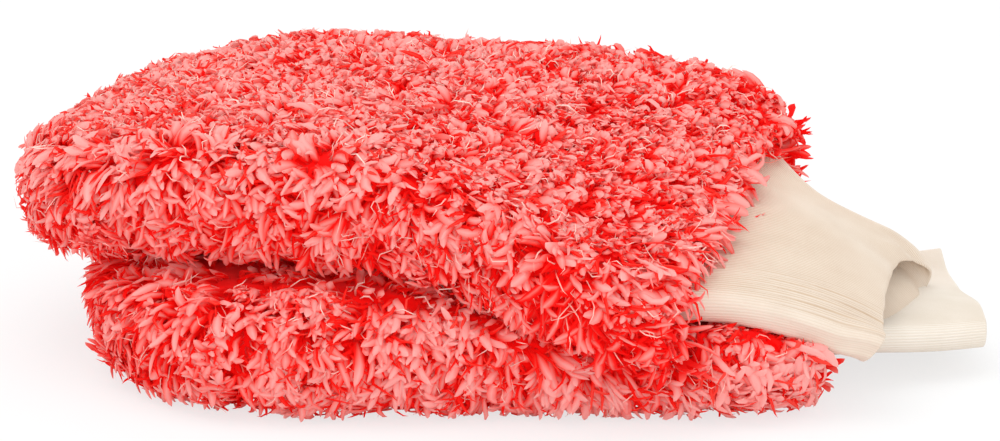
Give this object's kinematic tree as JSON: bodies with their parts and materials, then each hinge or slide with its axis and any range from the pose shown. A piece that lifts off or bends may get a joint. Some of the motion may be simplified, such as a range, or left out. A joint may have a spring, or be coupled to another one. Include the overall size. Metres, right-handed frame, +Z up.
{
  "type": "wash mitt",
  "caption": "Fluffy looped-pile wash mitts with ribbed knit wrist cuffs, one lying across the other, each with an open hand pocket.",
  "frame": {"origin": "centre of the face that the lower mitt rests on", "axes": "+Z up; +X along the lower mitt, from its fingertips to its cuff; +Y across it"},
  "size_m": [0.3202, 0.2113, 0.0883],
  "materials": {
    "chenille_pile": "deep looped pile of red, pink and pale strands",
    "base_cloth": "plain knitted backing",
    "lining": "fine smooth tricot",
    "seam_thread": "overlocked thread",
    "rib_knit": "fine rib knit"
  },
  "bodies": {
    "lower_mitt": {"lower_pile_top": "chenille_pile", "lower_pile_bottom": "chenille_pile", "lower_base_cloth_top": "base_cloth", "lower_base_cloth_bottom": "base_cloth", "lower_lining_top": "lining", "lower_lining_bottom": "lining", "lower_side_seam": "seam_thread", "lower_cuff_seam": "seam_thread"},
    "lower_cuff": {"lower_cuff": "rib_knit"},
    "upper_mitt": {"upper_pile_top": "chenille_pile", "upper_pile_bottom": "chenille_pile", "upper_base_cloth_top": "base_cloth", "upper_base_cloth_bottom": "base_cloth", "upper_lining_top": "lining", "upper_lining_bottom": "lining", "upper_side_seam": "seam_thread", "upper_cuff_seam": "seam_thread"},
    "upper_cuff": {"upper_cuff": "rib_knit"}
  },
  "joints": [
    {"name": "upper_mitt_lift", "type": "slide", "parent": "lower_mitt", "child": "upper_mitt", "axis": [0, 0, 1], "range_m": [0, 0.15]},
    {"name": "lower_cuff_bend", "type": "hinge", "parent": "lower_mitt", "child": "lower_cuff", "pos_m": [0.11, 0, 0.0153], "axis": [0, -1, 0], "range_deg": [-6, 4]},
    {"name": "upper_cuff_bend", "type": "hinge", "parent": "upper_mitt", "child": "upper_cuff", "pos_m": [0.08319, -0.02336, 0.04872], "axis": [-0.3217, -0.93, -0.1777], "range_deg": [0, 20]}
  ]
}
